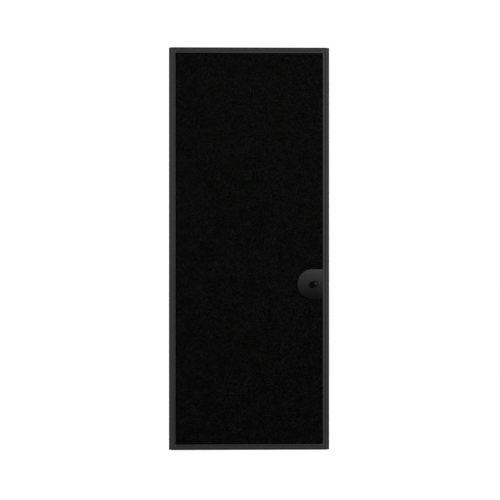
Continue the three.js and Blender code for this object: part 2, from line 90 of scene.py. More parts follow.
def solid(name, vertices, faces):
    """Object from points in mm, welded, with its normals outwards."""
    mesh = bpy.data.meshes.new(name)
    mesh.from_pydata([(x * MM, y * MM, z * MM) for x, y, z in vertices], [], faces)

    def weld(edit):
        bmesh.ops.remove_doubles(edit, verts=edit.verts, dist=2e-7)
        bmesh.ops.recalc_face_normals(edit, faces=edit.faces)

    edit_mesh(mesh, weld)
    return add_object(name, mesh)


def bake_modifiers(part):
    bpy.context.view_layer.update()
    graph = bpy.context.evaluated_depsgraph_get()
    mesh = bpy.data.meshes.new_from_object(part.evaluated_get(graph))
    old = part.data
    part.modifiers.clear()
    part.data = mesh
    mesh.name = old.name
    bpy.data.meshes.remove(old)


def boolean(part, tools, operation="DIFFERENCE"):
    for tool in tools:
        modifier = part.modifiers.new("b", "BOOLEAN")
        modifier.operation, modifier.object, modifier.solver = operation, tool, "EXACT"
    bake_modifiers(part)
    discard(tools)


def soften(part, width, segments=2, angle=38):
    """Round every edge sharper than angle, in degrees."""
    modifier = part.modifiers.new("bevel", "BEVEL")
    modifier.width, modifier.segments = width * MM, segments
    modifier.limit_method, modifier.angle_limit = "ANGLE", math.radians(angle)
    modifier.use_clamp_overlap = True
    modifier.harden_normals = False
    bake_modifiers(part)


def shade(part, sharp):
    """Smooth faces, with sharp edges above an angle in degrees."""
    def mark(edit):
        limit = math.radians(sharp)
        for face in edit.faces:
            face.smooth = True
        for edge in edit.edges:
            edge.smooth = not (len(edge.link_faces) == 2 and edge.calc_face_angle(0.0) > limit)

    edit_mesh(part.data, mark)


def heal(part):
    """Weld, drop degenerate faces, close pin holes, and point every face outwards."""
    def mend(edit):
        bmesh.ops.remove_doubles(edit, verts=edit.verts, dist=1e-6)
        bmesh.ops.dissolve_degenerate(edit, dist=1e-6, edges=edit.edges)
        gaps = [edge for edge in edit.edges if edge.is_boundary]
        if gaps:
            bmesh.ops.holes_fill(edit, edges=gaps, sides=0)
        bmesh.ops.recalc_face_normals(edit, faces=edit.faces)

    edit_mesh(part.data, mend)


def merge(name, parts):
    edit = bmesh.new()
    for part in parts:
        edit.from_mesh(part.data)
    mesh = bpy.data.meshes.new(name)
    edit.to_mesh(mesh)
    edit.free()
    discard(parts)
    return add_object(name, mesh)


def dress(part, material, body, replaced=None, sharp=40, flats=False):
    """Clean, shade and colour a part, and tell the frame what it rides on and replaces."""
    heal(part)
    shade(part, sharp)
    if flats:                                           # large flat faces keep their own normals
        modifier = part.modifiers.new("flats", "WEIGHTED_NORMAL")
        modifier.keep_sharp, modifier.weight = True, 100
        bake_modifiers(part)
    part.data.materials.clear()
    part.data.materials.append(material)
    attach(part, body)
    if replaced:
        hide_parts(replaced)


# ------------------------------------------------------------------ shapes
def wall(base, size, loops, closed=False):
    """Quads joining loops of size vertices that follow each other in the list from base on."""
    return [(base + i * size + k, base + i * size + (k + 1) % size,
             base + (i + 1) % loops * size + (k + 1) % size, base + (i + 1) % loops * size + k)
            for i in range(loops if closed else loops - 1) for k in range(size)]


def cap(loops):
    """Triangles between an outline and its holes; loops are (first vertex, outline)."""
    index = [first + k for first, outline in loops for k in range(len(outline))]
    flat = [[Vector((x, y, 0)) for x, y in outline] for _, outline in loops]
    return [tuple(index[k] for k in triangle) for triangle in tessellate_polygon(flat)]


def circle(radius, steps):
    return [(radius * math.cos(2 * math.pi * k / steps), radius * math.sin(2 * math.pi * k / steps))
            for k in range(steps)]


def loft(name, stations, place, hollow=None):
    """Closed body through (along, outline) stations, all outlines of one length.

    place(x, y, along) gives a point in mm; hollow is the outline of a straight bore.
    """
    size, count = len(stations[0][1]), len(stations)
    vertices = [place(x, y, along) for along, outline in stations for x, y in outline]
    faces = wall(0, size, count)
    last = (count - 1) * size
    if hollow:
        base, bore = len(vertices), len(hollow)
        for along in (stations[0][0], stations[-1][0]):
            vertices += [place(x, y, along) for x, y in hollow]
        faces += wall(base, bore, 2)
        faces += cap([(0, stations[0][1]), (base, hollow)])
        faces += cap([(last, stations[-1][1]), (base + bore, hollow)])
    else:
        faces += [tuple(range(size)), tuple(range(last, last + size))]
    return solid(name, vertices, faces)


def fillet(corners, steps=4):
    """Closed outline with rounded corners, from (x, y, radius)."""
    outline = []
    for i, (x, y, radius) in enumerate(corners):
        if radius <= 0:
            outline.append((x, y))
            continue
        corner = Vector((x, y))
        back = Vector(corners[i - 1][:2]) - corner
        ahead = Vector(corners[(i + 1) % len(corners)][:2]) - corner
        back_length, ahead_length = back.length, ahead.length
        back, ahead = back / back_length, ahead / ahead_length
        angle = math.acos(max(-1, min(1, back.dot(ahead))))
        if angle > math.pi - 0.02:                      # practically straight
            outline.append((x, y))
            continue
        reach = min(radius / math.tan(angle / 2), back_length * 0.48, ahead_length * 0.48)
        fitted = reach * math.tan(angle / 2)
        centre = corner + (back + ahead).normalized() * (fitted / math.sin(angle / 2))
        first, last = corner + back * reach - centre, corner + ahead * reach - centre
        start, stop = math.atan2(first.y, first.x), math.atan2(last.y, last.x)
        sweep = (stop - start + math.pi) % (2 * math.pi) - math.pi
        for k in range(steps + 1):
            turn = start + sweep * k / steps
            outline.append((centre.x + fitted * math.cos(turn), centre.y + fitted * math.sin(turn)))
    return outline


def lathe(name, profile, steps=48, axis="z", centre=(0, 0, 0)):
    """Turned body; profile is (radius, position along the axis), from axis to axis."""
    vertices, rings = [], []
    for radius, along in profile:
        points = [(0, 0)] if radius < 1e-6 else circle(radius, steps)
        rings.append(list(range(len(vertices), len(vertices) + len(points))))
        vertices += [(x, y, along) for x, y in points]
    faces = []
    for low, high in zip(rings, rings[1:]):
        for k in range(steps):
            j = (k + 1) % steps
            if len(low) == 1:
                faces.append((low[0], high[k], high[j]))
            elif len(high) == 1:
                faces.append((low[k], low[j], high[0]))
            else:
                faces.append((low[k], low[j], high[j], high[k]))
    if axis == "y":
        vertices = [(y, z, x) for x, y, z in vertices]
    return solid(name, [tuple(p + q for p, q in zip(point, centre)) for point in vertices], faces)


def rod(radius, y0, y1, x, z, steps):
    """Cylinder along y, used as a boolean tool."""
    return lathe("tool", [(0, y0), (radius, y0), (radius, y1), (0, y1)], steps, "y", (x, 0, z))


def block(x_range, y_range, z_range, name="tool"):
    vertices = [(x, y, z) for x in sorted(x_range) for y in sorted(y_range) for z in sorted(z_range)]
    faces = [(0, 1, 3, 2), (4, 6, 7, 5), (0, 4, 5, 1), (2, 3, 7, 6), (0, 2, 6, 4), (1, 5, 7, 3)]
    return solid(name, vertices, faces)


def stamped(name, corners, x_face, x_back, holes, slots=(), edge=0.2):
    """Sheet-metal part in y and z, with square corners given in order as (y, z, radius).

    Holes are (y, z, radius at the face, radius at the back), slots (y0, y1, z0, z1, radius).
    """
    pairs = [(corners[i - 1], corners[i]) for i in range(len(corners))]
    turn = 1 if sum(p[0] * q[1] - q[0] * p[1] for p, q in pairs) > 0 else -1

    def outline(inset):
        moved = []
        for i, (y, z, radius) in enumerate(corners):
            (y0, z0, _), (y1, z1, _) = corners[i - 1], corners[(i + 1) % len(corners)]
            come, leave = Vector((y - y0, z - z0)).normalized(), Vector((y1 - y, z1 - z)).normalized()
            inward = (Vector((-come.y, come.x)) + Vector((-leave.y, leave.x))) * turn * inset
            moved.append((y + inward.x, z + inward.y, max(radius - inset, 0.05) if radius > 0 else 0))
        return fillet(moved, 8)

    thick = abs(x_back - x_face)
    into = 1 if x_back > x_face else -1
    levels = [(0, edge), (0.3 * edge, 0.3 * edge), (edge, 0),       # depth, inset of the outline
              (thick - edge, 0), (thick - 0.3 * edge, 0.3 * edge), (thick, edge)]
    stacks = [[(depth, outline(inset)) for depth, inset in levels]]
    for y, z, at_face, at_back in holes:
        stacks.append([(depth, [(y + p, z + q) for p, q in circle(radius, 28)])
                       for depth, radius in ((0, at_face + 0.05), (0.08, at_face), (thick, at_back))])
    for y0, y1, z0, z1, radius in slots:
        stacks.append([(depth, fillet([(y0 - grow, z0 - grow, radius), (y1 + grow, z0 - grow, radius),
                                       (y1 + grow, z1 + grow, radius), (y0 - grow, z1 + grow, radius)]))
                       for depth, grow in ((0, 0.15), (0.15, 0), (thick, 0))])
    vertices, faces, face_loops, back_loops = [], [], [], []
    for stack in stacks:
        base, size = len(vertices), len(stack[0][1])
        for depth, loop in stack:
            vertices += [(x_face + into * depth, y, z) for y, z in loop]
        faces += wall(base, size, len(stack))
        face_loops.append((base, stack[0][1]))
        back_loops.append((base + (len(stack) - 1) * size, stack[-1][1]))
    return solid(name, vertices, faces + cap(face_loops) + cap(back_loops))


# ------------------------------------------------------------------ shader helpers
def rgba(colour):
    """A grey level or a colour of three, as a colour of four."""
    return (colour, colour, colour, 1) if isinstance(colour, float) else (*colour, 1)


class Shader:
    """Adds nodes to one node tree; inputs take a socket to link or a plain value."""

    def __init__(self, tree):
        self.tree = tree

    def feed(self, socket, value):
        if isinstance(value, bpy.types.NodeSocket):
            self.tree.links.new(value, socket)
        else:
            socket.default_value = rgba(value) if socket.type == "RGBA" else value

    def add(self, kind, **inputs):
        node = self.tree.nodes.new("ShaderNode" + kind)
        for name, value in inputs.items():
            self.feed(node.inputs[name.replace("_", " ")], value)
        return node

    def surface(self, **inputs):
        principled = self.tree.nodes["Principled BSDF"]
        for name, value in inputs.items():
            self.feed(principled.inputs[name.replace("_", " ")], value)

    def coordinates(self):
        return self.add("TexCoord").outputs["Object"]

    def split(self, vector):
        return self.add("SeparateXYZ", Vector=vector).outputs

    def stretched(self, vector, scale):
        return self.add("Mapping", Scale=scale, Vector=vector).outputs["Vector"]

    def noise(self, vector, scale, detail=3.0, roughness=0.55, distortion=0.0):
        return self.add("TexNoise", Scale=scale, Detail=detail, Roughness=roughness,
                        Distortion=distortion, Vector=vector).outputs["Fac"]

    def map_range(self, value, low, high):
        return self.add("MapRange", Value=value, From_Min=low, From_Max=high).outputs["Result"]

    def ramp(self, factor, stops):
        """stops are (position, colour)."""
        node = self.add("ValToRGB", Fac=factor)
        elements = node.color_ramp.elements
        while len(elements) < len(stops):
            elements.new(0.5)
        for element, (position, colour) in zip(elements, stops):
            element.position = position
            element.color = rgba(colour)
        return node.outputs["Color"]

    def mix(self, factor, first, second, blend="MIX"):
        node = self.add("Mix")
        node.data_type, node.blend_type = "RGBA", blend
        for index, value in ((0, factor), (6, first), (7, second)):     # the colour sockets
            self.feed(node.inputs[index], value)
        return node.outputs[2]

    def math(self, operation, first, second=0.0, clamp=False):
        node = self.add("Math")
        node.operation, node.use_clamp = operation, clamp
        self.feed(node.inputs[0], first)
        self.feed(node.inputs[1], second)
        return node.outputs[0]

    def times(self, value, gain, clamp=False):
        return self.math("MULTIPLY", value, gain, clamp)

    def spread(self, value, gain, offset):
        return self.math("ADD", self.times(value, gain), offset)

    def distance(self, value, centre):
        return self.math("ABSOLUTE", self.math("SUBTRACT", value, centre))

    def bump(self, height, strength, distance, **normal):
        return self.add("Bump", Strength=strength, Distance=distance, Height=height,
                        **normal).outputs["Normal"]

    def by_ray(self, output, unseen, seen):
        """Send one shader to camera rays and another to all the rest."""
        mix = self.add("MixShader")
        camera_ray = self.add("LightPath").outputs["Is Camera Ray"]
        for socket, value in zip(mix.inputs, (camera_ray, unseen, seen)):
            self.feed(socket, value)
        self.add(output, Surface=mix.outputs[0])


def new_material(name):
    material = bpy.data.materials.new(name)
    material.use_nodes = True
    shader = Shader(material.node_tree)
    return material, shader, shader.coordinates()


# ------------------------------------------------------------------ materials
def coat(name, crest, valley, stops, roughness=0.72, specular=0.16, along=(1, 1, 0.002)):
    """Powder coat on ribbed extrusion, with painted light by depth: painted highlight on the raised
    crests, painted shade on the lower faces; stops are (mm towards the inside, grey).
    """
    def tone(level):
        return (level, level, level * 1.005)

    low, span = 10, 10                                  # mm of depth that the ramp covers
    material, shader, coords = new_material(name)
    depth = shader.times(shader.split(coords)["Y"], -1000.0)
    depth = shader.map_range(depth, low, low + span)
    # painted highlight and painted shade: the grey is set by depth from the stops
    colour = shader.ramp(depth, [((mm - low) / span, tone(level)) for mm, level in stops])
    cloud = shader.noise(coords, scale=9.0, detail=4.0, roughness=0.6)
    fine = shader.noise(coords, scale=260.0, roughness=0.6)
    colour = shader.mix(shader.times(cloud, gain=0.35), colour, tone(crest * 1.12))
    colour = shader.mix(shader.times(fine, gain=0.22), colour, tone(valley * 0.72))
    peel = shader.noise(coords, scale=1400.0, detail=2.0, roughness=0.5)
    peel = shader.bump(peel, strength=0.25, distance=0.00012)
    # long faint die lines along the extrusion
    lines = shader.noise(shader.stretched(coords, along), scale=1500.0, detail=2.0, roughness=0.5)
    shader.surface(Base_Color=colour, Roughness=shader.spread(fine, gain=0.16, offset=roughness - 0.08),
                   Specular_IOR_Level=specular,
                   Normal=shader.bump(lines, strength=0.10, distance=0.0001, Normal=peel))
    return material


def plastic(name, level, roughness, specular, grain=900.0, relief=0.2, tint=(1, 1, 1)):
    material, shader, coords = new_material(name)
    cloud = shader.noise(coords, scale=14.0, detail=4.0, roughness=0.6)
    fine = shader.noise(coords, scale=grain, detail=2.0, roughness=0.5)
    base = [level * part for part in tint]
    shader.surface(
        Base_Color=shader.mix(cloud, [part * 0.88 for part in base], [part * 1.12 for part in base]),
        Roughness=shader.spread(fine, gain=0.10, offset=roughness - 0.05),
        Specular_IOR_Level=specular,
        Normal=shader.bump(fine, strength=relief, distance=0.00008))
    return material


def steel(name, level, roughness, along):
    """Brushed metal; along scales the coordinates, smallest in the direction of the brushing."""
    material, shader, coords = new_material(name)
    brush = shader.noise(shader.stretched(coords, along), scale=2600.0, roughness=0.6)
    cloud = shader.noise(coords, scale=45.0, detail=4.0, roughness=0.65)
    base = [level * part for part in (1.0, 1.0, 0.98)]
    colour = shader.mix(cloud, [part * 0.75 for part in base], [part * 1.15 for part in base])
    colour = shader.mix(shader.times(brush, gain=0.25), colour, [part * 0.6 for part in base])
    shader.surface(Base_Color=colour, Metallic=1.0,
                   Roughness=shader.spread(brush, gain=0.22, offset=roughness - 0.1),
                   Normal=shader.bump(brush, strength=0.18, distance=0.00005))
    return material


def carpet_felt():
    """Needle-punched felt: matted fibres, fine speckle, brownish and greenish blacks in clouds."""
    material, shader, coords = new_material("carpet_felt")
    speck = shader.noise(coords, scale=300.0, detail=2.0, roughness=0.6)
    hue = shader.noise(coords, scale=220.0, roughness=0.75)
    cloud = shader.noise(coords, scale=16.0, detail=4.0, roughness=0.7, distortion=0.4)
    fibre = shader.noise(coords, scale=900.0, detail=4.0, roughness=0.75, distortion=1.6)
    patch = shader.noise(coords, scale=34.0, roughness=0.65)
    tone = shader.math("ADD", shader.times(hue, gain=0.95), shader.times(patch, gain=0.05))
    colour = shader.ramp(tone, [(0.36, (0.0005, 0.0024, 0.0006)), (0.5, (0.00232, 0.00255, 0.0023)),
                                (0.64, (0.0047, 0.0026, 0.0046))])
    # painted shade: the felt is darkened within 5 mm of the frame's inner edges, where it tucks under the
    # frame
    place = shader.split(coords)
    middle = HEIGHT / 2
    from_stile = shader.math("SUBTRACT", (HALF_WIDTH - STILE_INNER) * MM,
                             shader.math("ABSOLUTE", place["X"]))
    from_rail = shader.math("SUBTRACT", (middle - RAIL_INNER) * MM,
                            shader.distance(place["Z"], middle * MM))
    painted_shade_by_frame = shader.times(shader.math("MINIMUM", from_stile, from_rail), gain=200.0, clamp=True)
    layers = (                                          # each multiplies the colour
        (speck, [(0.33, 0.15), (0.5, 1.0), (0.67, 2.6)]),
        (cloud, [(0.33, (0.86, 0.88, 0.86)), (0.5, 1.0), (0.68, (1.16, 1.12, 1.15))]),
        (patch, [(0.33, (0.82, 0.90, 0.82)), (0.5, 1.0), (0.67, (1.20, 1.11, 1.20))]),
        (fibre, [(0.3, 0.7), (0.75, 1.4)]),
        # painted shade along the frame, darkest at its edge
        (painted_shade_by_frame, [(0.0, 0.45), (0.45, 0.62), (1.0, 1.0)]),
    )
    for factor, stops in layers:
        colour = shader.mix(1.0, colour, shader.ramp(factor, stops), "MULTIPLY")
    matted = shader.bump(fibre, strength=0.9, distance=0.0006)
    shader.surface(Base_Color=colour, Roughness=1.0, Specular_IOR_Level=0.03, Sheen_Weight=0.006,
                   Sheen_Roughness=0.6,
                   Normal=shader.bump(speck, strength=0.7, distance=0.0012, Normal=matted))
    return material


def outer_sheet():
    """Moulded composite with a pebbled face, dull olive drab with faint weathering."""
    material, shader, coords = new_material("outer_sheet")
    cloud = shader.noise(coords, scale=5.0, detail=6.0, roughness=0.62, distortion=0.3)
    fine = shader.noise(coords, scale=420.0, roughness=0.6)
    upright = shader.stretched(coords, (1, 1, 0.08))
    streak = shader.noise(upright, scale=60.0, detail=4.0, roughness=0.6)
    colour = shader.ramp(cloud, [(0.30, (0.040, 0.045, 0.027)), (0.5, (0.054, 0.059, 0.036)),
                                 (0.70, (0.070, 0.074, 0.048))])
    colour = shader.mix(shader.times(streak, gain=0.30), colour, (0.075, 0.073, 0.055))
    colour = shader.mix(shader.times(fine, gain=0.30), colour, (0.016, 0.018, 0.011))
    pebbles = shader.add("TexVoronoi", Scale=330.0, Vector=coords).outputs["Distance"]
    pebbles = shader.bump(pebbles, strength=0.45, distance=0.0005)
    shader.surface(Base_Color=colour, Roughness=shader.spread(fine, gain=0.2, offset=0.52),
                   Specular_IOR_Level=0.4,
                   Normal=shader.bump(fine, strength=0.2, distance=0.0002, Normal=pebbles))
    return material


def birch_ply():
    """Upright grain, with veneers layered through the depth."""
    veneer = 1.6                                        # mm
    material, shader, coords = new_material("birch_ply")
    depth = shader.times(shader.split(coords)["Y"], 1000.0)
    layer = shader.math("PINGPONG", depth, veneer)
    upright = shader.stretched(coords, (1, 1, 0.06))
    grain = shader.noise(upright, scale=120.0, detail=6.0, roughness=0.65, distortion=0.8)
    colour = shader.ramp(grain, [(0.3, (0.25, 0.155, 0.075)), (0.5, (0.42, 0.28, 0.15)),
                                 (0.7, (0.55, 0.40, 0.24))])
    shader.surface(Base_Color=shader.mix(shader.times(layer, gain=0.25), colour, (0.16, 0.09, 0.045)),
                   Roughness=0.8, Normal=shader.bump(grain, strength=0.3, distance=0.0002))
    return material


def knob_phenolic():
    """Glossy black."""
    material, shader, coords = new_material("knob_phenolic")
    cloud = shader.noise(coords, scale=60.0, detail=4.0, roughness=0.6)
    fine = shader.noise(coords, scale=2200.0, detail=2.0, roughness=0.5)
    shader.surface(Base_Color=shader.mix(cloud, (0.0035, 0.0035, 0.0036), (0.0062, 0.0060, 0.0062)),
                   Roughness=shader.spread(cloud, gain=0.10, offset=0.19), Specular_IOR_Level=0.14,
                   Normal=shader.bump(fine, strength=0.05, distance=0.00003))
    return material


LEVEL = (0.002, 1, 1)                                   # die lines that run across the door
# The stops paint light by depth: the lighter raised crests are painted highlight, the darker lower faces
# and bead feet are painted shade.
JAMB_SIDE_COAT = coat("coat_jamb_sides", crest=0.043, valley=0.030, stops=[
    (15, 0.030), (16.2, 0.036), (17.3, 0.0215), (17.6, 0.0215), (18.2, 0.043)])
# Head and sill: a darker copy of the side coat, painted shade on the members that run across.
JAMB_END_COAT_SHADED = coat("coat_jamb_ends_shaded", crest=0.034, valley=0.026, along=LEVEL, stops=[
    (15, 0.026), (16.2, 0.030), (17.3, 0.0115), (17.6, 0.0115), (18.2, 0.036)])
STILE_COAT = coat("coat_stiles", crest=0.041, valley=0.032, stops=[
    (13, 0.032), (14.2, 0.032), (15.2, 0.044)])
# Rails: a darker copy of the stile coat, painted shade.
RAIL_COAT_SHADED = coat("coat_rails_shaded", crest=0.036, valley=0.030, along=LEVEL, stops=[
    (13, 0.030), (14.2, 0.030), (15.2, 0.038)])
CORNER_COAT = coat("corner_moulding", crest=0.050, valley=0.028, roughness=0.62, specular=0.2, stops=[
    (14, 0.024), (15.6, 0.026), (16.4, 0.058), (17.4, 0.058), (18.4, 0.050)])
PLUG_PLASTIC = plastic("plug_plastic", level=0.004, roughness=0.7, specular=0.15)
RUBBER = plastic("seal_rubber", level=0.008, roughness=0.8, specular=0.2, grain=600.0, relief=0.3)
PLATE_PLASTIC = plastic("plate_plastic", level=0.0040, roughness=0.25, specular=0.315, grain=1500.0,
                        relief=0.06, tint=(1.04, 0.97, 1.03))
KNOB_GLOSS = knob_phenolic()
HINGE_COAT = plastic("hinge_coat", level=0.022, roughness=0.42, specular=0.5, grain=1300.0, relief=0.18)
ZINC_STEEL = steel("zinc_steel", level=0.42, roughness=0.34, along=(1, 1, 0.03))
SCREW_STEEL = steel("screw_steel", level=0.30, roughness=0.36, along=(1, 1, 1))
LATCH_STEEL = steel("latch_steel", level=0.36, roughness=0.33, along=(0.05, 1, 1))
CARPET = carpet_felt()
OUTER_SHEET = outer_sheet()
PLYWOOD = birch_ply()


# ------------------------------------------------------------------ extrusions
# Sections are in (inset from the jamb's outside, y).
MOULDING_TOP = 21                                       # corner mouldings end here, from head or foot
MOULDING_INNER = 27.0                                   # inset where the leaf's mouldings end
MOULDING_GAP = 0.2
BEAD_RUN_OUT = 0.5                                      # length over which a bead rises
JAMB_END_HALF = 292.45                                  # half length of head and sill
SIDE_TUBE, SIDE_LIP, SIDE_BEAD = 7, 12.3, 9.9           # insets of tube, lip and middle of bead
END_TUBE, END_LIP, END_BEAD = 5.5, 10.8, 8.2


def from_end(top, height):
    return HEIGHT - height if top else height


def upright(side):
    return lambda inset, y, along: (side * (HALF_WIDTH - inset), y, along)


def level(top):
    return lambda inset, y, along: (along, y, from_end(top, inset))


def bead(centre, half, base, height, steps=18):
    """Rounded bead, from the larger inset to the smaller."""
    points = []
    for i in range(steps + 1):
        across = math.cos(math.pi * i / steps)
        rise = height * max(0.0, 1 - abs(across) ** 4.5) ** 0.4
        points.append((centre + half * across, base - rise, 0))
    return points


def jamb_section(tube, lip, centre, beaded=True):
    base, height = (-17.5, 1.5) if beaded else (-17.25, 0.06)
    return fillet([(0, 14, 0.5), (tube, 14, 0.5), (tube, -16, 0.5), (lip, -16, 0.35)]
                  + bead(centre, lip - centre, base, height) + [(0, -17.5, 0.5)])


def tube_hollow(tube):
    return fillet([(1.8, 12.2, 0.5), (tube - 1.8, 12.2, 0.5), (tube - 1.8, -15.7, 0.5), (1.8, -15.7, 0.5)])


def leaf_section(edge, inner, centre, half, beaded=True):
    """Channel open towards the panel, with a bead on its inside face."""
    points = [(edge, -14, 0.6)] + bead(centre, half, -14, 2.1 if beaded else 0.0)[::-1]
    points[-1] = (inner - 0.05, -13.85, 0)
    return fillet(points + [(inner, -12.2, 0.25), (edge + 1.8, -12.2, 0.5), (edge + 1.8, 12.2, 0.5),
                            (inner, 12.2, 0.25), (inner, 14, 0.5), (edge, 14, 0.6)])


def bead_stations(start, bead_start, bead_stop, stop, section, *sizes):
    """Stations of an extrusion whose bead stops short of both ends."""
    full, flat = section(*sizes), section(*sizes, beaded=False)
    return [(start, flat), (bead_start, flat), (bead_start + BEAD_RUN_OUT, full),
            (bead_stop - BEAD_RUN_OUT, full), (bead_stop, flat), (stop, flat)]


def jamb_side(side, name):
    margin = MOULDING_TOP + MOULDING_GAP
    stations = bead_stations(2, margin, HEIGHT - margin, HEIGHT - 2,
                             jamb_section, SIDE_TUBE, SIDE_LIP, SIDE_BEAD)
    part = loft(f"jamb_side_{name}", stations, upright(side), tube_hollow(SIDE_TUBE))
    soften(part, 0.3, angle=50)
    heal(part)
    if side > 0:                                        # opening behind the strike
        boolean(part, [block((296.5, 301.5), (-5.5, 5.5), (637.4, 649))])
    dress(part, JAMB_SIDE_COAT, "jamb", f"jamb_{name}_side")


def leaf_stile(side, name):
    margin = MOULDING_TOP + MOULDING_GAP
    stations = bead_stations(8, margin, HEIGHT - margin, HEIGHT - 8,
                             leaf_section, 9.5, STILE_INNER, 21.7, 2.4)
    part = loft(f"leaf_stile_{name}", stations, upright(side))
    if side > 0:                                        # seat of the latch faceplate
        boolean(part, [block((292, 296.5), (-10.9, 10.9), (610.7, 662.3))])
    soften(part, 0.25, angle=50)
    dress(part, STILE_COAT, "door_leaf", f"stile_{name}")


def jamb_rail(top, name):
    section = jamb_section(END_TUBE, END_LIP, END_BEAD)
    part = loft(f"jamb_{name}_rail", [(-JAMB_END_HALF, section), (JAMB_END_HALF, section)],
                level(top), tube_hollow(END_TUBE))
    soften(part, 0.3, angle=50)
    dress(part, JAMB_END_COAT_SHADED, "jamb", f"jamb_{name}")


def leaf_rail(top, name):
    end = HALF_WIDTH - (STILE_INNER + 0.2)
    bead_end = HALF_WIDTH - (MOULDING_INNER + MOULDING_GAP)
    stations = bead_stations(-end, -bead_end, bead_end, end, leaf_section, 8, RAIL_INNER, 18.6, 2.2)
    part = loft(f"leaf_rail_{name}", stations, level(top))
    soften(part, 0.25, angle=50)
    dress(part, RAIL_COAT_SHADED, "door_leaf", f"rail_{ENDS[top][1]}")


for side, name in ((-1, "hinge"), (1, "lock")):
    jamb_side(side, name)
    leaf_stile(side, name)
for top, name in ((0, "sill"), (1, "head")):
    jamb_rail(top, name)
    leaf_rail(top, name)


def corner_blocks(label, insets, depths, heights, bevel, segments, material, body,
                  ends=("bottom", "top")):
    """One block in each corner of the door."""
    for top, end in enumerate(ends):
        for side, hand in SIDES:
            part = block([side * (HALF_WIDTH - inset) for inset in insets], depths,
                         [from_end(top, height) for height in heights], f"{label}_{end}_{hand}")
            soften(part, bevel, segments)
            dress(part, material, body, sharp=60, flats=True)


# tenons that carry the head and sill into the sides, behind the stop lips
corner_blocks("jamb_tenon", insets=(7.2, 12.6), depths=(-15.8, 14), heights=(0.0, END_TUBE),
              bevel=0.4, segments=2, material=JAMB_END_COAT_SHADED, body="jamb",
              ends=("sill", "head"))
# black plugs in the open ends of the side tubes
corner_blocks("end_plug", insets=(0.7, 6.3), depths=(-16.9, 13.3), heights=(0.9, 2.0),
              bevel=0.5, segments=3, material=PLUG_PLASTIC, body="jamb")
# and in the open ends of the stiles' channels, behind the rails
corner_blocks("stile_plug", insets=(11.5, 24.1), depths=(-12.0, 12.0), heights=(8.2, 9.9),
              bevel=0.4, segments=3, material=PLUG_PLASTIC, body="door_leaf")

# (inset, y, radius) of the corner mouldings on the jamb and on the leaf
JAMB_MOULDING = [
    (7.4, -17.2, 0), (7.4, -18.6, 0.4), (8.0, -19.7, 0.7), (9.8, -20.1, 1.6),
    (11.6, -19.7, 0.7), (12.2, -18.6, 0.4), (12.2, -17.2, 0)]
LEAF_MOULDING = [
    (12.9, -14.1, 0.1), (12.9, -15.9, 0.5), (14.2, -15.9, 0.3), (14.8, -15.1, 0.4), (20.9, -15.1, 0.5),
    (22.0, -16.6, 0.5), (23.2, -17.25, 0.7), (25.6, -17.25, 0.7), (26.8, -16.2, 0.7),
    (MOULDING_INNER, -14.1, 0.1)]


def moulding(label, replaced, corners, start, bevel, body):
    """start is the moulding's outer end, from the head or foot."""
    stations = [(z, fillet(corners)) for z in sorted(from_end(top, z) for z in (start, MOULDING_TOP))]
    part = loft(f"{label}_{end}_{hand}", stations, upright(side))
    soften(part, bevel, segments=3, angle=60)
    dress(part, CORNER_COAT, body, f"{replaced}_{end}_{hand}")


for top, end in ENDS:
    for side, hand in SIDES:
        moulding("jamb_cap", "jamb_corner", JAMB_MOULDING, start=5.7, bevel=0.6, body="jamb")
        moulding("leaf_corner", "corner_block", LEAF_MOULDING, start=11.3, bevel=0.4, body="door_leaf")

# (inset, y, radius) of a stop seal: a bulb on a flat foot
SEAL = [(0.1, -15.9, 0.1), (2.3, -15.9, 0.1), (2.3, -15.5, 0.15), (2.15, -14.6, 0.6),
        (1.2, -14.2, 0.7), (0.25, -14.6, 0.6), (0.1, -15.5, 0.15)]


def seal(name, inset, start, stop, place):
    section = fillet([(inset + x, y, radius) for x, y, radius in SEAL])
    part = loft(f"bulb_seal_{name}", [(start, section), (stop, section)], place)
    dress(part, RUBBER, "jamb", f"stop_seal_{name}")


for side, hand in SIDES:
    seal(hand, inset=9.7, start=11, stop=HEIGHT - 11, place=upright(side))
for top, end in ENDS:
    seal(end, inset=8.2, start=-292.3, stop=292.3, place=level(top))


# ------------------------------------------------------------------ panel faces
SHEET_HALF, SHEET_FOOT = 293.4, 10.1
SHEET_FACE, SHEET_BACK = 12.0, 8.2                      # distance from the middle of the leaf


def relief(slice_y, least, mean, waves):
    """Depth in mm below the sheet's face; waves are (frequency, offset, amplitude)."""
    def depth(x, z):
        point, total = Vector((x, slice_y, z)), mean
        for frequency, offset, amplitude in waves:
            total += noise.noise(point * frequency + Vector(offset)) * amplitude
        return max(least, total)
    return depth


